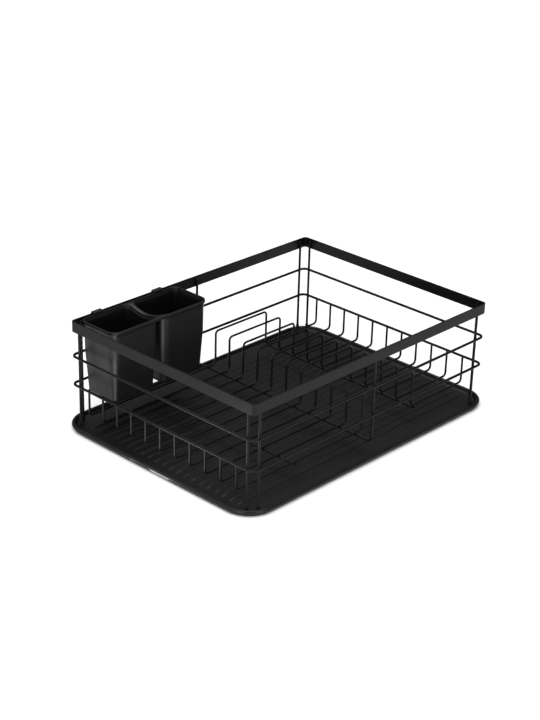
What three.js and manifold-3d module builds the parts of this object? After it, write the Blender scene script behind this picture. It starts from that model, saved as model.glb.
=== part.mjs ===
// Dish drying rack: a wire basket with a flat steel rim, standing on rubber-capped legs in a
// shallow drip tray, with a two-compartment cutlery caddy hooked over the back of the rim.
// Millimetres, +Z up. The origin is the centre of the tray's underside, +X runs along the
// long side and +Y towards the back, where the caddy hangs.

import * as THREE from 'three';
import { mergeVertices } from 'three/addons/utils/BufferGeometryUtils.js';
import Module from 'manifold-3d';

const wasm = await Module();
wasm.setup();

// ---------------------------------------------------------------- driving dimensions

const RACK_LENGTH = 420; // outside of the rim
const RACK_WIDTH = 313.5;
const RIM_TOP = 142.5;
const RIM_HEIGHT = 14;
const RIM_THICKNESS = 2;
const RIM_BEND = 5; // outside radius of the rim's corners

const LEG_RADIUS = 1.6;
const LOOP_RADIUS = 1.7;
const FLOOR_RADIUS = 1.4;
const WELD_GAP = 0.05; // left between two wires that are welded together

const LEG_TOP = 140;
const LEG_INSET_ON_ENDS = 11.75; // from the rack's corner to a leg on a short side
const LEG_INSET_ON_SIDES = 14; // and to a leg on a long side
const UPPER_LOOP_HEIGHT = 95.8;
const LOWER_LOOP_HEIGHT = 57.3;
const LOOP_BEND = 8;

const FLOOR_WIRES = 11;
const FLOOR_PITCH = 25.6;
const FLOOR_HEIGHT = 22.5; // centre line of the floor wires
const FLOOR_BEND = 5;
const RISER_TOP = 58.3; // where a floor wire ends, on the inside of the lower loop
const HOOP_LEFT = 10.5; // the plate hoop's two legs and its top
const HOOP_RIGHT = 105.5;
const HOOP_TOP = 70;
const CROSS_WIRE_X = 109;
const CROSS_WIRE_OVERHANG = 3;
const FRAME_BEND = 6;
const FRAME_JOINT = 135; // where the middle uprights are butt-welded to the cross wire between them

const TRAY_LENGTH = 448;
const TRAY_WIDTH = 332;
const TRAY_CORNERS = { front: 37, back: 37 };
const TRAY_FLOOR = 3;
const TRAY_HEIGHT = 8;
const TRAY_RIBS = 21;
const RIB_PITCH = FLOOR_PITCH / 2;
const RIB_HALF_LENGTH = 207;

const CAP_RADIUS = 2.2;
const CAP_HEIGHT = 12;
const CAP_FLOOR = 2.5;
const CAP_BORE = 1.75;
const REST_GAP = 0.1; // between pieces that rest on one another

const CADDY_LENGTH = 160;
const CADDY_DEPTH = 63;
const CADDY_CENTRE_X = -118.5;
const CADDY_CENTRE_Y = 122;
const CADDY_BOTTOM = 42.5;
const CADDY_HEIGHT = 99;
const CADDY_CORNERS = { front: 13, back: 9.5 }; // the back ones clear the corner leg
const CADDY_WALL = 2.2;
const CUP_GAP = 2.4; // between the two cups at the lip: it opens downwards as they taper
const WEB_HEIGHT = 20; // the web that joins the cups and carries the sagging divider top
const WEB_INSET = 9;
const SADDLE_RADIUS = 80; // the sag in the top of the divider
const SADDLE_DEPTH = 5;
const LIP_HEIGHT = 4;
const LIP_STEP = 1.8; // how far the cups stand in from the lip above them
const DRAIN_HOLE_RADIUS = 3;
const HOOK_WIDTH = 14;
const HOOK_SPACING = 100;
const HOOK_THICKNESS = 2.1;

const RACK_COLOUR = 0x1d1d20;
const TRAY_COLOUR = 0x1b1b1c;
const CADDY_COLOUR = 0x2a2a2b;
const RUBBER_COLOUR = 0x111112;

const BEND_STEPS = 5;
const CORNER_SEGMENTS = 4; // each quarter-round corner gets twice this many facets
const WIRE_SEGMENTS = 4; // and each round wire twice this many sides
const TIGHTEST_CORNER = 2;

// ---------------------------------------------------------------- places worked out from them

const legLineX = RACK_LENGTH / 2 - RIM_THICKNESS - WELD_GAP - LEG_RADIUS;
const legLineY = RACK_WIDTH / 2 - RIM_THICKNESS - WELD_GAP - LEG_RADIUS;
const loopHalfX = legLineX + LEG_RADIUS + WELD_GAP + LOOP_RADIUS;
const loopHalfY = legLineY + LEG_RADIUS + WELD_GAP + LOOP_RADIUS;
const riserX = loopHalfX - LOOP_RADIUS - WELD_GAP - FLOOR_RADIUS;
const crossHeight = FLOOR_HEIGHT - FLOOR_RADIUS - WELD_GAP - LEG_RADIUS;
const crossWireReach = ((FLOOR_WIRES - 1) / 2) * FLOOR_PITCH + CROSS_WIRE_OVERHANG;
const capBottom = TRAY_FLOOR + REST_GAP;

// ---------------------------------------------------------------- shared shapes

function solid(geometry) {
  const bare = geometry.clone();
  bare.deleteAttribute('normal');
  bare.deleteAttribute('uv');
  const merged = mergeVertices(bare, 1e-4);
  const vertProperties = new Float32Array(merged.attributes.position.array);
  const triVerts = new Uint32Array(merged.index.array);
  return new wasm.Manifold(new wasm.Mesh({ numProp: 3, vertProperties, triVerts }));
}

function geometryOf(manifold) {
  const mesh = manifold.getMesh();
  const geometry = new THREE.BufferGeometry();
  geometry.setAttribute('position', new THREE.BufferAttribute(mesh.vertProperties, 3));
  geometry.setIndex(new THREE.BufferAttribute(mesh.triVerts, 1));
  geometry.computeVertexNormals();
  return geometry;
}

function roundedOutline(halfX, halfY, corners, Outline = THREE.Shape) {
  const outline = new Outline();
  const { front, back } = corners;
  const quarter = Math.PI / 2;
  outline.absarc(halfX - back, halfY - back, back, 0, quarter);
  outline.absarc(back - halfX, halfY - back, back, quarter, 2 * quarter);
  outline.absarc(front - halfX, front - halfY, front, 2 * quarter, 3 * quarter);
  outline.absarc(halfX - front, front - halfY, front, 3 * quarter, 4 * quarter);
  outline.closePath();
  return outline;
}

// A solid stacked up from one rounded outline: each level has a height and the distance that
// the outline grows there, square to its own edge.
function stackedOutline(halfX, halfY, corners, levels) {
  const geometry = new THREE.ExtrudeGeometry(roundedOutline(halfX, halfY, corners), {
    depth: 1,
    steps: levels.length - 1,
    bevelEnabled: false,
    curveSegments: CORNER_SEGMENTS,
  });
  const position = geometry.attributes.position;
  const vertex = new THREE.Vector3();
  for (let i = 0; i < position.count; i++) {
    vertex.fromBufferAttribute(position, i);
    const { z, grow } = levels[Math.round(vertex.z * (levels.length - 1))];
    const signX = Math.sign(vertex.x);
    const signY = Math.sign(vertex.y);
    const radius = signY < 0 ? corners.front : corners.back;
    const outwardX = (vertex.x - signX * (halfX - radius)) / radius;
    const outwardY = (vertex.y - signY * (halfY - radius)) / radius;
    const grown = Math.max(radius + grow, TIGHTEST_CORNER);
    const x = signX * (halfX + grow - grown) + outwardX * grown;
    const y = signY * (halfY + grow - grown) + outwardY * grown;
    position.setXYZ(i, x, y, z);
  }
  return geometry;
}

// A bar along X with its section drawn in the YZ plane.
function barAlongX(section, length, curveSegments = 1) {
  const bar = new THREE.ExtrudeGeometry(section, { depth: length, bevelEnabled: false, curveSegments });
  bar.translate(0, 0, -length / 2);
  const intoY = new THREE.Vector3(0, 1, 0);
  const intoZ = new THREE.Vector3(0, 0, 1);
  const intoX = new THREE.Vector3(1, 0, 0);
  return bar.applyMatrix4(new THREE.Matrix4().makeBasis(intoY, intoZ, intoX));
}

// A bent wire's centre line: straight runs joined by round bends. The stations are the places
// where the swept section is set, so a straight run costs only its two ends.
class WireLine extends THREE.Curve {
  constructor(corners, bendRadius) {
    super();
    const last = corners.length - 1;
    const first = corners[1].clone().sub(corners[0]).normalize();
    const final = corners[last].clone().sub(corners[last - 1]).normalize();
    this.stations = [{ point: corners[0], tangent: first }];
    for (let i = 1; i < last; i++) {
      this.addBend(corners[i - 1], corners[i], corners[i + 1], bendRadius);
    }
    this.stations.push({ point: corners[last], tangent: final });
  }

  addBend(before, corner, after, radius) {
    const ahead = corner.clone().sub(before).normalize();
    const onward = after.clone().sub(corner).normalize();
    const angle = ahead.angleTo(onward);
    const inward = onward.clone().addScaledVector(ahead, -Math.cos(angle)).normalize();
    const start = corner.clone().addScaledVector(ahead, -radius * Math.tan(angle / 2));
    for (let step = 0; step <= BEND_STEPS; step++) {
      const turned = (angle * step) / BEND_STEPS;
      const point = start.clone().addScaledVector(ahead, radius * Math.sin(turned));
      point.addScaledVector(inward, radius * (1 - Math.cos(turned)));
      const tangent = ahead.clone().multiplyScalar(Math.cos(turned));
      tangent.addScaledVector(inward, Math.sin(turned));
      this.stations.push({ point, tangent });
    }
  }

  station(u) {
    return this.stations[Math.round(u * (this.stations.length - 1))];
  }

  getPointAt(u, target = new THREE.Vector3()) {
    return target.copy(this.station(u).point);
  }

  getTangentAt(u, target = new THREE.Vector3()) {
    return target.copy(this.station(u).tangent);
  }
}

function wireGeometry(corners, radius, bendRadius) {
  const line = new WireLine(corners, bendRadius);
  const section = new THREE.Shape().absarc(0, 0, radius, 0, 2 * Math.PI);
  return new THREE.ExtrudeGeometry(section, {
    steps: line.stations.length - 1,
    extrudePath: line,
    curveSegments: WIRE_SEGMENTS,
  });
}

function uprightRod(radius, bottom, top, sides) {
  const rod = new THREE.CylinderGeometry(radius, radius, top - bottom, sides);
  rod.rotateX(Math.PI / 2);
  return rod.translate(0, 0, (bottom + top) / 2);
}

const at = (x, y, z) => new THREE.Vector3(x, y, z);

// ---------------------------------------------------------------- the wire basket

function rimBandGeometry() {
  const ring = roundedOutline(RACK_LENGTH / 2, RACK_WIDTH / 2, { front: RIM_BEND, back: RIM_BEND });
  const insideX = RACK_LENGTH / 2 - RIM_THICKNESS;
  const insideY = RACK_WIDTH / 2 - RIM_THICKNESS;
  const insideBend = RIM_BEND - RIM_THICKNESS;
  const insideCorners = { front: insideBend, back: insideBend };
  ring.holes.push(roundedOutline(insideX, insideY, insideCorners, THREE.Path));
  const band = new THREE.ExtrudeGeometry(ring, {
    depth: RIM_HEIGHT,
    bevelEnabled: false,
    curveSegments: CORNER_SEGMENTS,
  });
  return band.translate(0, 0, RIM_TOP - RIM_HEIGHT);
}

// One closed wire ring: two halves that overlap a little where they are butt-welded.
function loopGeometry(height) {
  const overlap = 1;
  const half = (side) => [
    at(-side * overlap, -side * loopHalfY, height),
    at(side * loopHalfX, -side * loopHalfY, height),
    at(side * loopHalfX, side * loopHalfY, height),
    at(-side * overlap, side * loopHalfY, height),
  ];
  const right = solid(wireGeometry(half(1), LOOP_RADIUS, LOOP_BEND));
  const left = solid(wireGeometry(half(-1), LOOP_RADIUS, LOOP_BEND));
  return geometryOf(right.add(left));
}

// A floor wire rises to the lower loop at both ends and stands up in a hoop between plates.
function floorWireGeometry(y) {
  const corners = [
    at(-riserX, y, RISER_TOP),
    at(-riserX, y, FLOOR_HEIGHT),
    at(HOOP_LEFT, y, FLOOR_HEIGHT),
    at(HOOP_LEFT, y, HOOP_TOP),
    at(HOOP_RIGHT, y, HOOP_TOP),
    at(HOOP_RIGHT, y, FLOOR_HEIGHT),
    at(riserX, y, FLOOR_HEIGHT),
    at(riserX, y, RISER_TOP),
  ];
  return wireGeometry(corners, FLOOR_RADIUS, FLOOR_BEND);
}

// A middle upright comes down from the rim and bends in under the floor wires, where the
// middle cross wire carries on between the two.
function middleUprightGeometry(side) {
  const corners = [
    at(0, side * legLineY, LEG_TOP),
    at(0, side * legLineY, crossHeight),
    at(0, side * FRAME_JOINT, crossHeight),
  ];
  return wireGeometry(corners, LEG_RADIUS, FRAME_BEND);
}

function crossWireGeometry(x, reach) {
  return wireGeometry([at(x, -reach, crossHeight), at(x, reach, crossHeight)], LEG_RADIUS, 1);
}

function legGeometry() {
  return uprightRod(LEG_RADIUS, capBottom + CAP_FLOOR + REST_GAP, LEG_TOP, 2 * WIRE_SEGMENTS);
}

// A rubber cap with a blind bore that the leg's end sits in.
function footCapGeometry() {
  const edge = 0.7;
  const profile = [
    [0, 0],
    [CAP_RADIUS - edge, 0],
    [CAP_RADIUS, edge],
    [CAP_RADIUS, CAP_HEIGHT - edge],
    [CAP_RADIUS - edge / 2, CAP_HEIGHT],
    [CAP_BORE, CAP_HEIGHT],
    [CAP_BORE, CAP_FLOOR],
    [0, CAP_FLOOR],
  ];
  const points = profile.map(([radius, height]) => new THREE.Vector2(radius, height));
  const cap = new THREE.LatheGeometry(points, 12);
  cap.rotateX(Math.PI / 2);
  return cap.translate(0, 0, capBottom);
}

// ---------------------------------------------------------------- the drip tray

function trayRibSection() {
  const halfWidth = 3;
  const crown = 1.8;
  const height = 1.4;
  const section = new THREE.Shape();
  section.moveTo(-halfWidth, TRAY_FLOOR - 0.5);
  section.lineTo(halfWidth, TRAY_FLOOR - 0.5);
  section.lineTo(halfWidth, TRAY_FLOOR + 0.1);
  section.lineTo(crown, TRAY_FLOOR + height);
  section.lineTo(-crown, TRAY_FLOOR + height);
  section.lineTo(-halfWidth, TRAY_FLOOR + 0.1);
  section.closePath();
  return section;
}

function dripTrayGeometry() {
  const halfX = TRAY_LENGTH / 2;
  const halfY = TRAY_WIDTH / 2;
  const outside = [
    { z: 0, grow: -4.5 },
    { z: 1.5, grow: -2.2 },
    { z: 4, grow: -0.9 },
    { z: 6.2, grow: 0 },
    { z: 7.2, grow: -0.4 },
    { z: 7.8, grow: -1.3 },
    { z: TRAY_HEIGHT, grow: -2.4 },
  ];
  const hollow = [
    { z: TRAY_FLOOR, grow: -9.5 },
    { z: 3.5, grow: -7.2 },
    { z: 5, grow: -5.7 },
    { z: 7, grow: -4.8 },
    { z: 7.8, grow: -4 },
    { z: TRAY_HEIGHT, grow: -3.2 },
    { z: TRAY_HEIGHT + 1, grow: -3.2 },
  ];
  let tray = solid(stackedOutline(halfX, halfY, TRAY_CORNERS, outside));
  tray = tray.subtract(solid(stackedOutline(halfX, halfY, TRAY_CORNERS, hollow)));
  for (let i = 0; i < TRAY_RIBS; i++) {
    const rib = barAlongX(trayRibSection(), 2 * RIB_HALF_LENGTH);
    rib.translate(0, (i - (TRAY_RIBS - 1) / 2) * RIB_PITCH, 0);
    tray = tray.add(solid(rib));
  }
  return geometryOf(tray);
}

// ---------------------------------------------------------------- the cutlery caddy

const cupHalfX = (CADDY_LENGTH - CUP_GAP) / 4;
const cupCentreX = CUP_GAP / 2 + cupHalfX;

function caddyLip() {
  const levels = [
    { z: CADDY_HEIGHT - LIP_HEIGHT, grow: 0 },
    { z: CADDY_HEIGHT - 1, grow: 0 },
    { z: CADDY_HEIGHT, grow: -0.6 },
  ];
  return solid(stackedOutline(CADDY_LENGTH / 2, CADDY_DEPTH / 2, CADDY_CORNERS, levels));
}

// Outside of one tapered cup, with a rounded bottom edge. It ends inside the lip.
function caddyCup(side) {
  const levels = [
    { z: 0, grow: -11.5 },
    { z: 1.2, grow: -9 },
    { z: 4, grow: -6.9 },
    { z: 9, grow: -6 },
    { z: 58, grow: -2.4 },
    { z: CADDY_HEIGHT - LIP_HEIGHT / 2, grow: -LIP_STEP },
  ];
  const cup = stackedOutline(cupHalfX, CADDY_DEPTH / 2, CADDY_CORNERS, levels);
  return solid(cup.translate(side * cupCentreX, 0, 0));
}

function caddyWeb() {
  const width = CUP_GAP + 4 * CADDY_WALL;
  const web = new THREE.BoxGeometry(width, CADDY_DEPTH - 2 * WEB_INSET, WEB_HEIGHT);
  return solid(web.translate(0, 0, CADDY_HEIGHT - WEB_HEIGHT / 2 - 1));
}

function caddyCompartment(side) {
  const levels = [
    { z: CADDY_WALL, grow: -10.5 },
    { z: 3.4, grow: -7.8 },
    { z: 8, grow: -6 },
    { z: 58, grow: -2.4 },
    { z: CADDY_HEIGHT - LIP_HEIGHT, grow: -LIP_STEP },
    { z: CADDY_HEIGHT - 1, grow: 0 },
    { z: CADDY_HEIGHT + 1, grow: 0.4 },
  ];
  const halfX = cupHalfX - CADDY_WALL;
  const halfY = CADDY_DEPTH / 2 - CADDY_WALL;
  const corners = { front: CADDY_CORNERS.front - CADDY_WALL, back: CADDY_CORNERS.back - CADDY_WALL };
  const hollow = stackedOutline(halfX, halfY, corners, levels);
  return solid(hollow.translate(side * cupCentreX, 0, 0));
}

function dividerSaddle() {
  const length = 4 * (CUP_GAP + CADDY_WALL);
  const cutter = new THREE.CylinderGeometry(SADDLE_RADIUS, SADDLE_RADIUS, length, 40);
  cutter.rotateZ(Math.PI / 2);
  return solid(cutter.translate(0, 0, CADDY_HEIGHT - SADDLE_DEPTH + SADDLE_RADIUS));
}

function caddyHook(x) {
  const wallY = CADDY_DEPTH / 2;
  const rimOutside = RACK_WIDTH / 2 - CADDY_CENTRE_Y;
  const seat = RIM_TOP - CADDY_BOTTOM + REST_GAP;
  const tip = seat - 11;
  const root = seat - 6;
  const inner = rimOutside + 3 * REST_GAP;
  const outer = inner + HOOK_THICKNESS;
  const top = seat + HOOK_THICKNESS;
  const softening = 0.8;
  const section = new THREE.Shape();
  section.moveTo(wallY - HOOK_THICKNESS, root);
  section.lineTo(wallY, root);
  section.lineTo(wallY, seat);
  section.lineTo(inner, seat);
  section.lineTo(inner, tip);
  section.lineTo(outer, tip);
  section.lineTo(outer, top - softening);
  section.lineTo(outer - softening, top);
  section.lineTo(wallY - HOOK_THICKNESS + softening, top);
  section.lineTo(wallY - HOOK_THICKNESS, top - softening);
  section.closePath();
  return solid(barAlongX(section, HOOK_WIDTH).translate(x, 0, 0));
}

function drainHoles() {
  const rows = [-1, 1];
  const columns = [-1, 0, 1];
  const pitch = 18;
  const holes = [];
  for (const side of [-1, 1]) {
    for (const row of rows) {
      for (const column of columns) {
        const hole = uprightRod(DRAIN_HOLE_RADIUS, -1, CADDY_WALL + 1, 12);
        hole.translate(side * cupCentreX + column * pitch, (row * pitch) / 2, 0);
        holes.push(solid(hole));
      }
    }
  }
  return holes;
}

function cutleryCaddyGeometry() {
  const sides = [-1, 1];
  let caddy = caddyLip().add(caddyWeb());
  for (const side of sides) {
    caddy = caddy.add(caddyCup(side));
  }
  for (const side of sides) {
    caddy = caddy.subtract(caddyCompartment(side));
  }
  caddy = caddy.subtract(dividerSaddle());
  for (const hole of drainHoles()) {
    caddy = caddy.subtract(hole);
  }
  for (const side of sides) {
    caddy = caddy.add(caddyHook((side * HOOK_SPACING) / 2));
  }
  return geometryOf(caddy);
}

// ---------------------------------------------------------------- assembly

function material(color, roughness, metalness) {
  return new THREE.MeshStandardMaterial({ color, roughness, metalness });
}

const coatedSteel = () => material(RACK_COLOUR, 0.5, 0.3);
const trayPlastic = () => material(TRAY_COLOUR, 0.45, 0);
const caddyPlastic = () => material(CADDY_COLOUR, 0.4, 0);
const capRubber = () => material(RUBBER_COLOUR, 0.85, 0);

const rack = new THREE.Group();

function place(name, geometry, itsMaterial, x = 0, y = 0, z = 0) {
  const mesh = new THREE.Mesh(geometry, itsMaterial);
  mesh.name = name;
  mesh.position.set(x, y, z);
  rack.add(mesh);
}

function addBasket() {
  place('rim_band', rimBandGeometry(), coatedSteel());
  place('upper_loop_wire', loopGeometry(UPPER_LOOP_HEIGHT), coatedSteel());
  place('lower_loop_wire', loopGeometry(LOWER_LOOP_HEIGHT), coatedSteel());
  for (let i = 0; i < FLOOR_WIRES; i++) {
    const y = (i - (FLOOR_WIRES - 1) / 2) * FLOOR_PITCH;
    const name = `floor_wire_${String(i + 1).padStart(2, '0')}`;
    place(name, floorWireGeometry(y), coatedSteel());
  }
  place('middle_upright_front', middleUprightGeometry(-1), coatedSteel());
  place('middle_upright_back', middleUprightGeometry(1), coatedSteel());
  place('cross_wire_middle', crossWireGeometry(0, FRAME_JOINT - WELD_GAP), coatedSteel());
  place('cross_wire_left', crossWireGeometry(-CROSS_WIRE_X, crossWireReach), coatedSteel());
  place('cross_wire_right', crossWireGeometry(CROSS_WIRE_X, crossWireReach), coatedSteel());
}

function addLegs() {
  const endY = RACK_WIDTH / 2 - LEG_INSET_ON_ENDS;
  const sideX = RACK_LENGTH / 2 - LEG_INSET_ON_SIDES;
  for (const [across, signX] of [['left', -1], ['right', 1]]) {
    for (const [along, signY] of [['front', -1], ['back', 1]]) {
      const corner = `${along}_${across}`;
      const spots = [
        [`end_${corner}`, signX * legLineX, signY * endY],
        [`side_${corner}`, signX * sideX, signY * legLineY],
      ];
      for (const [spot, x, y] of spots) {
        place(`leg_${spot}`, legGeometry(), coatedSteel(), x, y);
        place(`foot_cap_${spot}`, footCapGeometry(), capRubber(), x, y);
      }
    }
  }
}

place('drip_tray', dripTrayGeometry(), trayPlastic());
addBasket();
addLegs();
place(
  'cutlery_caddy',
  cutleryCaddyGeometry(),
  caddyPlastic(),
  CADDY_CENTRE_X,
  CADDY_CENTRE_Y,
  CADDY_BOTTOM,
);

export default rack;
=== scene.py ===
"""Looks of the dish drying rack: powder-coated rim and wires, moulded tray and caddy, rubber caps."""

import math

import bmesh
import bpy
from mathutils import Matrix, Vector
from mathutils.geometry import delaunay_2d_cdt


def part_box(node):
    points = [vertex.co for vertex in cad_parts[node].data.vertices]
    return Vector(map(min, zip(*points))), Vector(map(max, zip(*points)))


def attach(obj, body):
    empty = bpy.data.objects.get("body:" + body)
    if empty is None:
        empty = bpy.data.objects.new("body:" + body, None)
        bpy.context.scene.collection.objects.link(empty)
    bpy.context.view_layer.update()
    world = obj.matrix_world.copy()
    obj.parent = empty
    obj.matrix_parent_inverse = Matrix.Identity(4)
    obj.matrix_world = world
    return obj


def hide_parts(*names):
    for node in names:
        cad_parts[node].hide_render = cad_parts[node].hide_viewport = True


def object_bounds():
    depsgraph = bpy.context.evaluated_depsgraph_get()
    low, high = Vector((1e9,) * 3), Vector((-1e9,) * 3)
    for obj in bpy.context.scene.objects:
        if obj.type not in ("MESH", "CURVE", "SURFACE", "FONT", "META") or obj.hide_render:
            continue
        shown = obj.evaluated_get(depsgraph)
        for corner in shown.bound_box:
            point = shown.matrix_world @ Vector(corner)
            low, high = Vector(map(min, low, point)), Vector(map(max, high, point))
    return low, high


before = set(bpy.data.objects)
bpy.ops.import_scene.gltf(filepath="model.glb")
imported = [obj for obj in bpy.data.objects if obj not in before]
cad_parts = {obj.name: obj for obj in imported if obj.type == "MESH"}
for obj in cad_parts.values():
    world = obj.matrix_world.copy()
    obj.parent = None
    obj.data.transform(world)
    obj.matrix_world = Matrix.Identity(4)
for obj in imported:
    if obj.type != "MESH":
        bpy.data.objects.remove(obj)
cad_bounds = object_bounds()

MM = 0.001

# The rack, read from the frame.
RIM_LOW, RIM_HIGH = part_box("rim_band")
RIM_THICKNESS = 2 * MM
RIM_BEND = 5 * MM
RIM_EDGE = 0.45 * MM
RIM_WELD_HEIGHTS = (RIM_LOW.z + 3 * MM, RIM_HIGH.z - 5 * MM)
RIM_WELD_LENGTH = 2.4 * MM

# Wires.
WIRE_SIDES = 16
BEND_STEPS = 8
LOOP_BEND = 8 * MM
FLOOR_BEND = 5 * MM
FRAME_BEND = 6 * MM
HOOP_LEFT = 10.5 * MM
HOOP_RIGHT = 105.5 * MM
CROSS_WIRES = ("cross_wire_left", "cross_wire_right")
MIDDLE_FRAME = ("middle_upright_front", "cross_wire_middle", "middle_upright_back")
BEAD_WIDTH = 1.5 * MM
BEAD_DEPTH = 0.75 * MM

# Drip tray.
TRAY_CORNER = 37 * MM
TRAY_FLOOR = 3 * MM
TRAY_RECESS = 0.6 * MM
TRAY_RIBS = 21
RIB_PITCH = 12.8 * MM
RIB_HALF_LENGTH = 207 * MM
RIB_HALF_WIDTH = 3.4 * MM
RIB_HEIGHT = 1.4 * MM
RIB_END_SLOPE = 5

# Cutlery caddy.
CADDY_HEIGHT = 99 * MM
CADDY_CORNERS = (13 * MM, 9.5 * MM)
CADDY_WALL = 2.2 * MM
CADDY_DEPTH = 63 * MM
CUP_GAP = 2.4 * MM
LIP_HEIGHT = 4 * MM
LIP_STEP = 1.8 * MM
LIP_ROUND = 0.9 * MM
MOUTH_ROUND = 0.6 * MM
TIGHTEST_CORNER = 1.5 * MM
SADDLE_DEPTH = 5 * MM
SADDLE_REACH = 28 * MM
CROWN_DROP = 1.4 * MM
HOLE_RADIUS = 3 * MM
HOLE_PITCH = 18 * MM
HOOK_SPACING = 100 * MM
HOOK_WIDTH = 14 * MM
HOOK_THICKNESS = 2.1 * MM

# View of the whole rack.
VIEW_AZIMUTH = -46.66
VIEW_ELEVATION = 25.275
VIEW_ROLL = 1.573
VIEW_TARGET = (-0.02846, -0.00755, 0.08774)
VIEW_DISTANCE = 2.09944
LENS = 84.71
VIEW_REACH = 90

STUDIO_FLOOR_HALF = 30.0


# ------------------------------------------------------------------ shaping

class Shell:
    """The points and faces of one piece while it is being shaped."""

    def __init__(self):
        self.points = []
        self.faces = []

    def ring(self, points):
        first = len(self.points)
        self.points.extend(Vector(point) for point in points)
        return list(range(first, len(self.points)))

    def skin(self, one, other):
        """A band of four-sided faces between two closed rings."""
        count = len(one)
        for i in range(count):
            after = (i + 1) % count
            self.faces.append((one[i], one[after], other[after], other[i]))

    def skins(self, rings, closed=False):
        for one, other in zip(rings, rings[1:]):
            self.skin(one, other)
        if closed:
            self.skin(rings[-1], rings[0])

    def lid(self, ring):
        self.faces.append(tuple(ring))

    def plate(self, rings, inside, filling=()):
        """Fills the flat region between rings with triangles, through the filling points."""
        corners = [index for ring in rings for index in ring]
        height = self.points[corners[0]].z
        flat = [self.points[index].xy for index in corners]
        flat.extend(Vector(point) for point in filling)
        edges = []
        first = 0
        for ring in rings:
            count = len(ring)
            edges.extend((first + i, first + (i + 1) % count) for i in range(count))
            first += count
        places, _, triangles, origins, _, _ = delaunay_2d_cdt(flat, edges, [], 0, 1e-8)
        index_of = []
        for place, origin in zip(places, origins):
            if origin and origin[0] < len(corners):
                index_of.append(corners[origin[0]])
            else:
                index_of.append(self.ring([(place.x, place.y, height)])[0])
        for triangle in triangles:
            centre = sum((places[i] for i in triangle), Vector((0, 0))) / 3
            if inside(centre):
                self.faces.append(tuple(index_of[i] for i in triangle))

    def moved(self, change):
        self.points = [change(point) for point in self.points]

    def piece(self, name, body, slot, finish, *nodes):
        """Makes the finished piece, which stands for its CAD nodes and rides on their body."""
        mesh = bpy.data.meshes.new(name)
        mesh.from_pydata(self.points, [], self.faces)
        work = bmesh.new()
        work.from_mesh(mesh)
        bmesh.ops.recalc_face_normals(work, faces=work.faces)
        for face in work.faces:
            face.smooth = True
        work.to_mesh(mesh)
        work.free()
        mesh.materials.append(finish)
        piece = bpy.data.objects.new(name, mesh)
        bpy.context.scene.collection.objects.link(piece)
        flats = piece.modifiers.new("even flats", "WEIGHTED_NORMAL")
        flats.weight = 60
        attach(piece, body)
        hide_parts(*nodes)
        return piece


def arc(centre, radius, start, end, steps):
    """Points round part of a circle in a profile, from one angle to another in degrees."""
    points = []
    for step in range(steps + 1):
        angle = math.radians(start + (end - start) * step / steps)
        points.append((centre[0] + radius * math.cos(angle), centre[1] + radius * math.sin(angle)))
    return points


def rounded_outline(half_x, half_y, corners, corner_steps, side_steps=1):
    """A rectangle with round corners, anticlockwise, with each straight side cut into steps.
    Corners gives the radius of the front and of the back ones."""
    front, back = corners
    points = []
    for sign_x, sign_y, start in ((1, 1, 0), (-1, 1, 90), (-1, -1, 180), (1, -1, 270)):
        radius = front if sign_y < 0 else back
        centre = (sign_x * (half_x - radius), sign_y * (half_y - radius))
        points.extend(arc(centre, radius, start, start + 90, corner_steps))
    outline = []
    turn = corner_steps + 1
    for i, point in enumerate(points):
        outline.append(point)
        if i % turn == corner_steps:
            onward = points[(i + 1) % len(points)]
            for step in range(1, side_steps):
                share = step / side_steps
                x = point[0] + (onward[0] - point[0]) * share
                y = point[1] + (onward[1] - point[1]) * share
                outline.append((x, y))
    return outline


def even_corners(radius):
    return (radius, radius)


def outside_by(point, half_x, half_y, corners):
    """How far a point lies outside a rounded rectangle round the origin: negative inside it."""
    front, back = corners
    radius = front if point[1] < 0 else back
    over_x = abs(point[0]) - (half_x - radius)
    over_y = abs(point[1]) - (half_y - radius)
    beyond = math.hypot(max(over_x, 0), max(over_y, 0))
    return beyond + min(max(over_x, over_y), 0) - radius


def smooth_step(value, low, high):
    share = min(max((value - low) / (high - low), 0), 1)
    return share * share * (3 - 2 * share)


def bent_line(corners, bend, closed=False):
    """Places and directions along a wire: straight runs joined by round bends."""
    corners = [Vector(corner) for corner in corners]
    count = len(corners)
    line = []
    if not closed:
        line.append((corners[0], (corners[1] - corners[0]).normalized()))
    turns = range(count) if closed else range(1, count - 1)
    for i in turns:
        corner = corners[i]
        ahead = (corner - corners[i - 1]).normalized()
        onward = (corners[(i + 1) % count] - corner).normalized()
        angle = ahead.angle(onward)
        inward = (onward - ahead * math.cos(angle)).normalized()
        start = corner - ahead * bend * math.tan(angle / 2)
        for step in range(BEND_STEPS + 1):
            turned = angle * step / BEND_STEPS
            place = start + ahead * bend * math.sin(turned) + inward * bend * (1 - math.cos(turned))
            line.append((place, ahead * math.cos(turned) + inward * math.sin(turned)))
    if not closed:
        line.append((corners[-1], (corners[-1] - corners[-2]).normalized()))
    return line


def round_section(radius, sides=WIRE_SIDES):
    return arc((0, 0), radius, 0, 360 - 360 / sides, sides - 1)


def sweep(shell, line, side, section, closed=False, dome=0.0):
    """Sweeps a section along a flat line. Side is square to the line's plane."""
    side = Vector(side)

    def ring(place, tangent, scale=1.0):
        across = side.cross(tangent)
        return shell.ring(place + side * u * scale + across * v * scale for u, v in section)

    rings = [ring(place, tangent) for place, tangent in line]
    if closed:
        shell.skins(rings, closed=True)
        return
    first, first_way = line[0]
    last, last_way = line[-1]
    for degrees in (25, 50, 75):
        angle = math.radians(degrees)
        reach = dome * math.sin(angle)
        rings.insert(0, ring(first - first_way * reach, first_way, math.cos(angle)))
        rings.append(ring(last + last_way * reach, last_way, math.cos(angle)))
    shell.skins(rings)
    shell.lid(rings[0])
    shell.lid(rings[-1])


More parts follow.
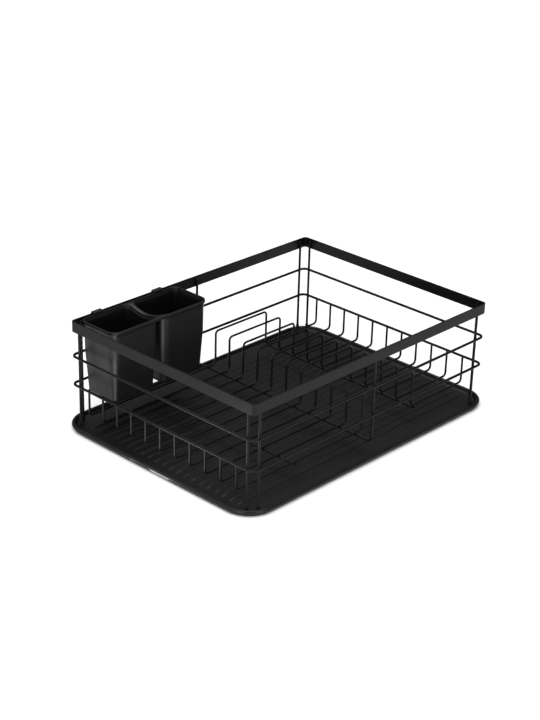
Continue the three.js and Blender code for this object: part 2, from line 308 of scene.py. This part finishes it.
def weld_bead(shell, place, facing, along, length=BEAD_WIDTH):
    """The small lump of weld where two wires touch, hugging both."""
    facing = Vector(facing).normalized()
    along = Vector(along).normalized()
    across = facing.cross(along)
    rings = []
    for degrees in (-80, -50, -20, 20, 50, 80):
        angle = math.radians(degrees)
        centre = Vector(place) + facing * BEAD_DEPTH * math.sin(angle)
        width = math.cos(angle)
        section = round_section(width, 10)
        rings.append(
            shell.ring(centre + along * u * length + across * v * BEAD_WIDTH for u, v in section)
        )
    shell.skins(rings)
    shell.lid(rings[0])
    shell.lid(rings[-1])


# ------------------------------------------------------------------ finishes

class Value:
    """A shader socket that can stand in a sum: each operator adds its Math node."""

    def __init__(self, finish, socket):
        self.finish = finish
        self.socket = socket

    def _with(self, operation, one, other):
        return self.finish.node("ShaderNodeMath", {"operation": operation}, {0: one, 1: other})

    def __add__(self, other):
        return self._with("ADD", self, other)

    __radd__ = __add__

    def __mul__(self, other):
        return self._with("MULTIPLY", self, other)

    __rmul__ = __mul__

    def __sub__(self, other):
        return self._with("SUBTRACT", self, other)

    def __rsub__(self, other):
        return self._with("SUBTRACT", other, self)


class Finish:
    """One surface finish. Constant values go straight on the shader's own sockets."""

    def __init__(self, name, **constants):
        self.material = bpy.data.materials.new(name)
        self.material.use_nodes = True
        self.tree = self.material.node_tree
        self.shader = self.tree.nodes["Principled BSDF"]
        for socket, value in constants.items():
            self.shader.inputs[socket.replace("_", " ")].default_value = value
        coordinates = self.tree.nodes.new("ShaderNodeTexCoord")
        self.place = Value(self, coordinates.outputs["Object"])

    def node(self, kind, settings, inputs, output=0):
        made = self.tree.nodes.new(kind)
        for name, value in settings.items():
            setattr(made, name, value)
        for socket, value in inputs.items():
            if isinstance(value, Value):
                self.tree.links.new(value.socket, made.inputs[socket])
            else:
                made.inputs[socket].default_value = value
        return Value(self, made.outputs[output])

    def noise(self, scale, detail=2.0, roughness=0.5):
        inputs = {"Vector": self.place, "Scale": scale, "Detail": detail, "Roughness": roughness}
        return self.node("ShaderNodeTexNoise", {}, inputs)

    def blend(self, factor, one, other):
        settings = {"data_type": "RGBA"}
        inputs = {0: factor, 6: (*one, 1), 7: (*other, 1)}
        return self.node("ShaderNodeMix", settings, inputs, 2)

    def feed(self, socket, value):
        self.tree.links.new(value.socket, self.shader.inputs[socket])

    def bump(self, height, strength, distance):
        inputs = {"Height": height, "Strength": strength, "Distance": distance}
        self.feed("Normal", self.node("ShaderNodeBump", {}, inputs))


def powder_coat():
    """Black powder coat on steel: satin, with a fine orange peel and a faint change of sheen."""
    finish = Finish("black powder coat", Specular_IOR_Level=0.13)
    peel = finish.noise(620, 3.0, 0.55)
    grain = finish.noise(2600, 1.0)
    cloud = finish.noise(22, 3.0)
    dark, light = (0.0028, 0.0028, 0.0034), (0.0056, 0.0056, 0.0064)
    finish.feed("Base Color", finish.blend(cloud, dark, light))
    finish.feed("Roughness", 0.26 + cloud * 0.1 + grain * 0.05)
    finish.bump(peel * 0.7 + grain * 0.3, 0.32, 0.00016)
    return finish.material


def tray_plastic():
    """Black moulded plastic: a fine spark-grained floor, and a smoother rim that hands polish."""
    finish = Finish("black tray plastic", Specular_IOR_Level=0.22)
    height = finish.node("ShaderNodeSeparateXYZ", {}, {0: finish.place}, 2)
    limits = {"Value": height, "From Min": 0.0042, "From Max": 0.0066, "To Min": 0.0, "To Max": 1.0}
    rim = finish.node("ShaderNodeMapRange", {"interpolation_type": "SMOOTHSTEP"}, limits)
    grain = finish.noise(1500, 2.0, 0.6)
    flow = finish.noise(16, 4.0, 0.6)
    finish.feed("Base Color", finish.blend(flow, (0.0022, 0.0022, 0.0024), (0.005, 0.005, 0.0054)))
    finish.feed("Roughness", 0.4 - rim * 0.1 + flow * 0.12)
    finish.bump(grain * (1.0 - rim * 0.75), 0.4, 0.00014)
    return finish.material


def caddy_plastic():
    """Black moulded plastic with a soft sheen and a very fine grain."""
    finish = Finish("black caddy plastic", Specular_IOR_Level=0.3)
    grain = finish.noise(1900, 2.0, 0.6)
    flow = finish.noise(24, 4.0, 0.55)
    dark, light = (0.0055, 0.0055, 0.0057), (0.0085, 0.0085, 0.0088)
    finish.feed("Base Color", finish.blend(flow, dark, light))
    finish.feed("Roughness", 0.3 + flow * 0.1)
    finish.bump(grain, 0.28, 0.0001)
    return finish.material


def cap_rubber():
    """Matt black rubber, a little dusty from the mould."""
    finish = Finish("black cap rubber", Specular_IOR_Level=0.2)
    pores = finish.noise(1400, 3.0, 0.65)
    dust = finish.noise(180, 3.0)
    finish.feed("Base Color", finish.blend(dust, (0.004, 0.004, 0.004), (0.009, 0.009, 0.0088)))
    finish.feed("Roughness", 0.72 + dust * 0.18)
    finish.bump(pores, 0.5, 0.00018)
    return finish.material


def pale_floor():
    finish = Finish("pale studio floor", Roughness=0.9, Specular_IOR_Level=0.1)
    mottle = finish.noise(3, 2.0)
    finish.feed("Base Color", finish.blend(mottle, (0.93, 0.93, 0.93), (0.95, 0.95, 0.95)))
    return finish.material


COAT = powder_coat()
TRAY = tray_plastic()
CADDY = caddy_plastic()
RUBBER = cap_rubber()


# ------------------------------------------------------------------ the wire basket

def coated(shell, node):
    return shell.piece(f"{node}.coated", "rack", "coated_steel", COAT, node)


def middle_of(node):
    low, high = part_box(node)
    return (low + high) / 2


def thickness_of(node, axis):
    low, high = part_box(node)
    return (high - low)[axis]


LOOP_RADIUS = thickness_of("upper_loop_wire", 2) / 2
FLOOR_RADIUS = thickness_of("floor_wire_01", 1) / 2
LEG_RADIUS = thickness_of("cross_wire_middle", 0) / 2
LOOP_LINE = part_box("upper_loop_wire")[1] - Vector((LOOP_RADIUS, LOOP_RADIUS, LOOP_RADIUS))
LOOP_HEIGHTS = [middle_of(node).z for node in ("upper_loop_wire", "lower_loop_wire")]


def rim_band():
    """A flat strip bent into a rounded rectangle, with its sharp edges broken."""
    half_x = RIM_HIGH.x - RIM_THICKNESS / 2
    half_y = RIM_HIGH.y - RIM_THICKNESS / 2
    middle = (RIM_LOW.z + RIM_HIGH.z) / 2
    corners = [(-half_x, -half_y), (half_x, -half_y), (half_x, half_y), (-half_x, half_y)]
    line = bent_line([(x, y, middle) for x, y in corners], RIM_BEND - RIM_THICKNESS / 2, closed=True)
    half_height = (RIM_HIGH.z - RIM_LOW.z) / 2
    section = rounded_outline(half_height, RIM_THICKNESS / 2, even_corners(RIM_EDGE), 3)
    shell = Shell()
    sweep(shell, line, (0, 0, 1), section, closed=True)
    coated(shell, "rim_band")


def loop_wire(node):
    height = middle_of(node).z
    x, y = LOOP_LINE.x, LOOP_LINE.y
    corners = [(-x, -y, height), (x, -y, height), (x, y, height), (-x, y, height)]
    shell = Shell()
    line = bent_line(corners, LOOP_BEND, closed=True)
    sweep(shell, line, (0, 0, 1), round_section(LOOP_RADIUS), closed=True)
    coated(shell, node)


def floor_wire(node):
    """Rises to the lower loop at both ends and stands up in a hoop between the plates."""
    low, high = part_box(node)
    y = middle_of(node).y
    end_x = high.x - FLOOR_RADIUS
    floor_z = low.z + FLOOR_RADIUS
    riser_top = LOOP_HEIGHTS[1] + 1 * MM
    hoop_top = high.z - FLOOR_RADIUS
    tip = 0.5 * MM
    corners = [
        (-end_x, y, riser_top - tip),
        (-end_x, y, floor_z),
        (HOOP_LEFT, y, floor_z),
        (HOOP_LEFT, y, hoop_top),
        (HOOP_RIGHT, y, hoop_top),
        (HOOP_RIGHT, y, floor_z),
        (end_x, y, floor_z),
        (end_x, y, riser_top - tip),
    ]
    shell = Shell()
    sweep(shell, bent_line(corners, FLOOR_BEND), (0, 1, 0), round_section(FLOOR_RADIUS), dome=tip)
    for side in (-1, 1):
        place = (side * (end_x + FLOOR_RADIUS), y, LOOP_HEIGHTS[1])
        weld_bead(shell, place, (1, 0, 0), (0, 1, 0))
    under = floor_z - FLOOR_RADIUS
    for cross in ("cross_wire_middle", *CROSS_WIRES):
        weld_bead(shell, (middle_of(cross).x, y, under), (0, 0, 1), (1, 1, 0))
    coated(shell, node)


def middle_frame():
    """The two middle uprights and the cross wire between them, which are one bent wire."""
    low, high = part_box("middle_upright_back")
    x = middle_of("cross_wire_middle").x
    half_y = high.y - LEG_RADIUS
    bottom = low.z + LEG_RADIUS
    tip = 0.6 * MM
    top = high.z - tip
    corners = [(x, -half_y, top), (x, -half_y, bottom), (x, half_y, bottom), (x, half_y, top)]
    shell = Shell()
    line = bent_line(corners, FRAME_BEND)
    sweep(shell, line, (1, 0, 0), round_section(LEG_RADIUS), dome=tip)
    for side in (-1, 1):
        upright_welds(shell, x, side * half_y, (0, side, 0))
    shell.piece("middle_frame.coated", "rack", "coated_steel", COAT, *MIDDLE_FRAME)


def upright_welds(shell, x, y, outward):
    """Where an upright meets the two loops and, in two spots, the inside of the rim."""
    outward = Vector(outward)
    up = Vector((0, 0, 1))
    sideways = outward.cross(up)
    touching = Vector((x, y, 0)) + outward * LEG_RADIUS
    for height in LOOP_HEIGHTS:
        weld_bead(shell, touching + up * height, outward, sideways + up)
    for height in RIM_WELD_HEIGHTS:
        weld_bead(shell, touching + up * height, outward, up, RIM_WELD_LENGTH)


def cross_wire(node):
    low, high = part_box(node)
    centre = middle_of(node)
    tip = 0.6 * MM
    ends = [(centre.x, low.y + tip, centre.z), (centre.x, high.y - tip, centre.z)]
    shell = Shell()
    sweep(shell, bent_line(ends, FRAME_BEND), (1, 0, 0), round_section(LEG_RADIUS), dome=tip)
    coated(shell, node)


def leg(spot):
    node = f"leg_{spot}"
    low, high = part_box(node)
    centre = middle_of(node)
    tip = 0.6 * MM
    ends = [(centre.x, centre.y, low.z), (centre.x, centre.y, high.z - tip)]
    shell = Shell()
    sweep(shell, bent_line(ends, FRAME_BEND), (1, 0, 0), round_section(LEG_RADIUS), dome=tip)
    on_end = spot.startswith("end")
    outward = (math.copysign(1, centre.x), 0, 0) if on_end else (0, math.copysign(1, centre.y), 0)
    upright_welds(shell, centre.x, centre.y, outward)
    coated(shell, node)


def foot_cap(spot):
    """A push-on rubber cap: soft edges, a slight waist, and a rolled mouth round the leg."""
    node = f"foot_cap_{spot}"
    low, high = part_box(node)
    centre = middle_of(node)
    radius = (high.x - low.x) / 2
    height = high.z - low.z
    bore = LEG_RADIUS + 0.04 * MM
    edge = 0.7 * MM
    waist = radius - 0.14 * MM
    mouth_round = 0.27 * MM
    bore_round = 0.2 * MM
    profile = [(radius - 1.4 * MM, 0)]
    profile += arc((radius - edge, edge), edge, -90, -5, 5)
    profile += [(waist, height * 0.35), (waist, height * 0.7)]
    profile += arc((radius - mouth_round, height - mouth_round), mouth_round, 0, 90, 4)
    profile += arc((bore + bore_round, height - bore_round), bore_round, 90, 180, 3)
    profile += [(bore, height - 3 * MM)]
    shell = Shell()
    rings = []
    for r, z in profile:
        circle = round_section(r, 20)
        rings.append(shell.ring((centre.x + x, centre.y + y, low.z + z) for x, y in circle))
    shell.skins(rings)
    shell.lid(rings[0])
    shell.lid(rings[-1])
    shell.piece(f"{node}.rubber", "rack", "cap_rubber", RUBBER, node)


# ------------------------------------------------------------------ the drip tray

def tray_profile():
    """Grow and height of each ring, from the underside round the rolled rim to the floor."""
    foot = 7 * MM
    profile = [(-foot - 3 * MM, TRAY_RECESS), (-foot - 1.4 * MM, TRAY_RECESS)]
    profile += [(-foot - 0.9 * MM, 0.12 * MM), (-foot - 0.6 * MM, 0)]
    profile += arc((-4.4 * MM, 2.2 * MM), 2.2 * MM, -90, -25, 5)
    profile += arc((-2.6 * MM, 5.4 * MM), 2.6 * MM, -22, 180, 14)
    profile += arc((-9 * MM, 6.8 * MM), 3.8 * MM, -25, -90, 6)
    return profile


def drip_tray():
    low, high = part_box("drip_tray")
    shell = Shell()
    rings = []
    for grow, z in tray_profile():
        outline = rounded_outline(high.x + grow, high.y + grow, even_corners(TRAY_CORNER + grow), 12)
        rings.append(shell.ring((x, y, low.z + z) for x, y in outline))
    shell.skins(rings)
    shell.lid(rings[0])
    shell.lid(rings[-1])
    for i in range(TRAY_RIBS):
        tray_rib(shell, (i - (TRAY_RIBS - 1) / 2) * RIB_PITCH)
    shell.piece("drip_tray.moulded", "tray", "tray_plastic", TRAY, "drip_tray")


def tray_rib(shell, y):
    """A low soft-sided rib with round ends, rooted just under the tray's floor."""
    rings = []
    steps = 7
    for step in range(steps + 1):
        share = step / steps
        inset = RIB_HALF_WIDTH * 0.9 * share
        rise = RIB_HEIGHT * smooth_step(share, 0, 0.72)
        reach = RIB_HALF_WIDTH - inset
        half_length = RIB_HALF_LENGTH - inset * RIB_END_SLOPE
        outline = rounded_outline(half_length, reach, even_corners(reach * 0.999), 6)
        z = TRAY_FLOOR - 0.05 * MM + rise
        rings.append(shell.ring((px, y + py, z) for px, py in outline))
    shell.skins(rings)
    shell.lid(rings[0])
    shell.lid(rings[-1])


# ------------------------------------------------------------------ the cutlery caddy

CADDY_LOW, CADDY_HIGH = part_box("cutlery_caddy")
CADDY_HALF_X = (CADDY_HIGH.x - CADDY_LOW.x) / 2
CADDY_HALF_Y = CADDY_DEPTH / 2
CADDY_CENTRE = Vector((
    (CADDY_LOW.x + CADDY_HIGH.x) / 2,
    CADDY_LOW.y + CADDY_HALF_Y,
    CADDY_LOW.z,
))
CUP_HALF_X = (2 * CADDY_HALF_X - CUP_GAP) / 4
CUP_CENTRE_X = CUP_GAP / 2 + CUP_HALF_X
CUP_CORNER_STEPS = 12
CUP_SIDE_STEPS = 12


def caddy_corners(grow):
    return tuple(max(radius + grow, TIGHTEST_CORNER) for radius in CADDY_CORNERS)


def cup_outline(side, grow):
    half_x = CUP_HALF_X + grow
    half_y = CADDY_HALF_Y + grow
    outline = rounded_outline(half_x, half_y, caddy_corners(grow), CUP_CORNER_STEPS, CUP_SIDE_STEPS)
    return [(x + side * CUP_CENTRE_X, y) for x, y in outline]


def out_of_cup(point, grow):
    """How far a point lies outside the nearer cup's outline, grown by so much."""
    local = (abs(point[0]) - CUP_CENTRE_X, point[1])
    return outside_by(local, CUP_HALF_X + grow, CADDY_HALF_Y + grow, caddy_corners(grow))


def straight_profile(start, end, steps):
    (r0, z0), (r1, z1) = start, end
    return [(r0 + (r1 - r0) * i / steps, z0 + (z1 - z0) * i / steps) for i in range(steps + 1)]


def cup_outside_profile():
    foot = 6.5 * MM
    wall_foot = -6.1 * MM
    profile = arc((wall_foot - foot, foot), foot, -90, -3, 8)
    profile += straight_profile((wall_foot, 9 * MM), (-2.4 * MM, 58 * MM), 10)
    profile += straight_profile((-2.35 * MM, 61 * MM), (-LIP_STEP, CADDY_HEIGHT - LIP_HEIGHT), 9)
    return profile


def cup_inside_profile():
    """From the mouth down the tapered wall to the floor of the cup."""
    foot = 4.5 * MM
    wall_foot = -8.2 * MM
    mouth = CADDY_HEIGHT - MOUTH_ROUND
    profile = arc((-CADDY_WALL + MOUTH_ROUND, mouth), MOUTH_ROUND, 90, 180, 4)
    top_of_wall = (-CADDY_WALL, mouth - 0.6 * MM)
    profile += straight_profile(top_of_wall, (-4 * MM, CADDY_HEIGHT - LIP_HEIGHT - 1 * MM), 4)
    profile += straight_profile((-4.1 * MM, CADDY_HEIGHT - 10 * MM), (-4.6 * MM, 58 * MM), 7)
    profile += straight_profile((-4.8 * MM, 55 * MM), (wall_foot, 9 * MM), 10)
    profile += arc((wall_foot - foot, CADDY_WALL + foot), foot, -3, -90, 8)
    return profile


def hole_centres(side):
    places = []
    for row in (-0.5, 0.5):
        for column in (-1, 0, 1):
            places.append((side * CUP_CENTRE_X + column * HOLE_PITCH, row * HOLE_PITCH))
    return places


def in_a_hole(point, side):
    return any(math.dist(point, centre) < HOLE_RADIUS * 0.98 for centre in hole_centres(side))


def caddy_cup(shell, side):
    """One cup with its drain holes. Gives back its outer ring under the lip and its mouth ring."""
    outside = [
        shell.ring((x, y, z) for x, y in cup_outline(side, grow))
        for grow, z in cup_outside_profile()
    ]
    inside = [
        shell.ring((x, y, z) for x, y in cup_outline(side, grow))
        for grow, z in cup_inside_profile()
    ]
    shell.skins(outside)
    shell.skins(inside)
    soften = 0.4 * MM
    outer_holes = []
    inner_holes = []
    for centre_x, centre_y in hole_centres(side):
        profile = [
            (HOLE_RADIUS + soften, 0),
            (HOLE_RADIUS, soften),
            (HOLE_RADIUS, CADDY_WALL - soften),
            (HOLE_RADIUS + soften, CADDY_WALL),
        ]
        rings = []
        for radius, z in profile:
            circle = round_section(radius)
            rings.append(shell.ring((centre_x + x, centre_y + y, z) for x, y in circle))
        shell.skins(rings)
        outer_holes.append(rings[0])
        inner_holes.append(rings[-1])

    def on_floor(point):
        return not in_a_hole(point, side)

    shell.plate([outside[0], *outer_holes], on_floor)
    shell.plate([inside[-1], *inner_holes], on_floor)
    return outside[-1], inside[0]


def lip_outline(grow):
    half_x = CADDY_HALF_X + grow
    half_y = CADDY_HALF_Y + grow
    return rounded_outline(half_x, half_y, caddy_corners(grow), CUP_CORNER_STEPS, 2 * CUP_SIDE_STEPS)


def web_points(clearance):
    """Points over the web between the cups, close enough together to bend smoothly."""
    points = []
    step = 1.1 * MM
    across = int(max(CADDY_CORNERS) / step)
    along = int(CADDY_HALF_Y / step)
    for i in range(-across, across + 1):
        for j in range(-along, along + 1):
            point = (i * step, j * step)
            free_of_cups = out_of_cup(point, clearance) > 0.5 * MM
            if free_of_cups and abs(point[1]) < CADDY_HALF_Y - 2 * MM:
                points.append(point)
    return points


def sagging(point):
    """Lets the divider's top sag in a saddle between the front and the back, with a soft crown."""
    below = CADDY_HEIGHT - point.z
    held = 1 - smooth_step(below, 6 * MM, 30 * MM)
    reach = min(abs(point.y) / SADDLE_REACH, 1)
    sag = SADDLE_DEPTH * (1 - reach * reach) ** 1.5
    near = 1 - smooth_step(abs(point.x), 4.5 * MM, 13 * MM)
    half_top = CUP_GAP / 2 + CADDY_WALL
    crown = min(abs(point.x) / half_top, 1) ** 2 * (1 - smooth_step(abs(point.x), half_top, 9 * MM))
    near_top = 1 - smooth_step(below, 0.5 * MM, 6 * MM)
    clear_of_walls = smooth_step(-abs(point.y), -27 * MM, -18 * MM)
    crown_held = near_top * clear_of_walls
    drop = sag * near * held + CROWN_DROP * crown * crown_held
    return Vector((point.x, point.y, point.z - drop))


def caddy_hook(shell, x):
    """A flat moulded strap that goes over the rim and down outside it."""
    half = HOOK_THICKNESS / 2
    wall = CADDY_HALF_Y - half
    outside = RIM_HIGH.y - CADDY_CENTRE.y + 0.3 * MM + half
    top = CADDY_HIGH.z - CADDY_LOW.z - half
    tip = 0.5 * MM
    line = bent_line(
        [(x, wall, top - 8 * MM), (x, wall, top), (x, outside, top), (x, outside, top - 12 * MM + tip)],
        2 * MM,
    )
    section = rounded_outline(HOOK_WIDTH / 2, half, even_corners(0.6 * MM), 3)
    sweep(shell, line, (1, 0, 0), section, dome=tip)


def cutlery_caddy():
    shell = Shell()
    cups = [caddy_cup(shell, side) for side in (-1, 1)]
    lip_foot = CADDY_HEIGHT - LIP_HEIGHT
    lip_profile = [(-0.7 * MM, lip_foot), (-0.2 * MM, lip_foot + 0.2 * MM), (0, lip_foot + 0.7 * MM)]
    lip_profile += arc((-LIP_ROUND, CADDY_HEIGHT - LIP_ROUND), LIP_ROUND, 0, 90, 5)
    lip = [shell.ring((x, y, z) for x, y in lip_outline(grow)) for grow, z in lip_profile]
    shell.skins(lip)
    under_wall = -LIP_STEP
    mouth_wall = -CADDY_WALL + MOUTH_ROUND
    under_rings = [lip[0]] + [cup[0] for cup in cups]
    mouth_rings = [lip[-1]] + [cup[1] for cup in cups]
    shell.plate(under_rings, lambda point: out_of_cup(point, under_wall) > 0, web_points(under_wall))
    shell.plate(mouth_rings, lambda point: out_of_cup(point, mouth_wall) > 0, web_points(mouth_wall))
    shell.moved(sagging)
    for side in (-1, 1):
        caddy_hook(shell, side * HOOK_SPACING / 2)
    shell.moved(lambda point: point + CADDY_CENTRE)
    shell.piece("cutlery_caddy.moulded", "caddy", "caddy_plastic", CADDY, "cutlery_caddy")


# ------------------------------------------------------------------ studio

def studio_floor():
    """A pale sheet wide enough to fill a low view to its top."""
    half = STUDIO_FLOOR_HALF
    mesh = bpy.data.meshes.new("studio_floor")
    rim = [(x * half, y * half, 0) for x, y in rounded_outline(1, 1, even_corners(0.4), 12)]
    mesh.from_pydata(rim, [], [tuple(range(len(rim)))])
    mesh.materials.append(pale_floor())
    floor = bpy.data.objects.new("studio_floor", mesh)
    bpy.context.scene.collection.objects.link(floor)
    floor.location.z = cad_bounds[0][2]


def new_light(name, lamp, power):
    lamp.energy = power
    light = bpy.data.objects.new(name, lamp)
    bpy.context.scene.collection.objects.link(light)
    return light


def area_light(name, width, height, power):
    lamp = bpy.data.lights.new(name, "AREA")
    lamp.shape = "RECTANGLE"
    lamp.size = width
    lamp.size_y = height
    return new_light(name, lamp, power)


def soft_light(name, place, aim, width, height, power):
    light = area_light(name, width, height, power)
    light.location = place
    light.rotation_euler = (Vector(aim) - Vector(place)).to_track_quat("-Z", "Y").to_euler()


def bounce_card(name, place, turn, length, width, power):
    """A bright card lying on the floor, which the upright corners mirror."""
    light = area_light(name, length, width, power)
    light.location = (*place, 0.002)
    light.rotation_euler = (math.pi, 0, math.radians(turn))


def wide_sun(name, direction, angle, strength):
    lamp = bpy.data.lights.new(name, "SUN")
    lamp.angle = math.radians(angle)
    light = new_light(name, lamp, strength)
    light.rotation_euler = Vector(direction).to_track_quat("-Z", "Y").to_euler()


def studio():
    world = bpy.data.worlds.new("soft white room")
    world.use_nodes = True
    sky = world.node_tree.nodes["Background"]
    sky.inputs["Color"].default_value = (1.0, 1.0, 1.0, 1)
    sky.inputs["Strength"].default_value = 0.12
    bpy.context.scene.world = world
    bpy.context.scene.view_settings.view_transform = "Standard"
    wide_sun("white ceiling", (0.05, -0.1, -1), 80, 3.5)
    soft_light("left soft box", (-1.0, -0.35, 0.2), (-0.15, 0, 0.1), 0.16, 0.4, 4)
    soft_light("right soft box", (-0.3, -1.05, 0.2), (0, -0.1, 0.1), 0.16, 0.4, 4)
    bounce_card("left cup card", (-0.328, -0.030), 43.3, 0.24, 0.05, 0.19)
    bounce_card("right cup card", (-0.270, -0.044), 43.3, 0.13, 0.045, 0.1)
    bounce_card("left corner card", (-0.497, -0.199), 8.0, 0.1, 0.1, 0.16)
    bounce_card("front corner card", (-0.269, -0.441), 78.0, 0.1, 0.1, 0.16)
    studio_floor()


def camera():
    azimuth = math.radians(VIEW_AZIMUTH)
    elevation = math.radians(VIEW_ELEVATION)
    roll = Matrix.Rotation(math.radians(VIEW_ROLL), 4, "Z")
    back = Vector((
        math.sin(azimuth) * math.cos(elevation),
        -math.cos(azimuth) * math.cos(elevation),
        math.sin(elevation),
    ))
    lens = bpy.data.cameras.new("view")
    lens.lens = LENS
    lens.clip_end = VIEW_REACH
    viewer = bpy.data.objects.new("view", lens)
    bpy.context.scene.collection.objects.link(viewer)
    turned = back.to_track_quat("Z", "Y").to_matrix().to_4x4()
    place = Matrix.Translation(Vector(VIEW_TARGET) + back * VIEW_DISTANCE)
    viewer.matrix_world = place @ turned @ roll
    bpy.context.scene.camera = viewer


camera()
studio()
rim_band()
loop_wire("upper_loop_wire")
loop_wire("lower_loop_wire")
for name in sorted(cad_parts):
    if name.startswith("floor_wire_"):
        floor_wire(name)
middle_frame()
for name in CROSS_WIRES:
    cross_wire(name)
for end_or_side in ("end", "side"):
    for corner in ("front_left", "front_right", "back_left", "back_right"):
        leg(f"{end_or_side}_{corner}")
        foot_cap(f"{end_or_side}_{corner}")
drip_tray()
cutlery_caddy()
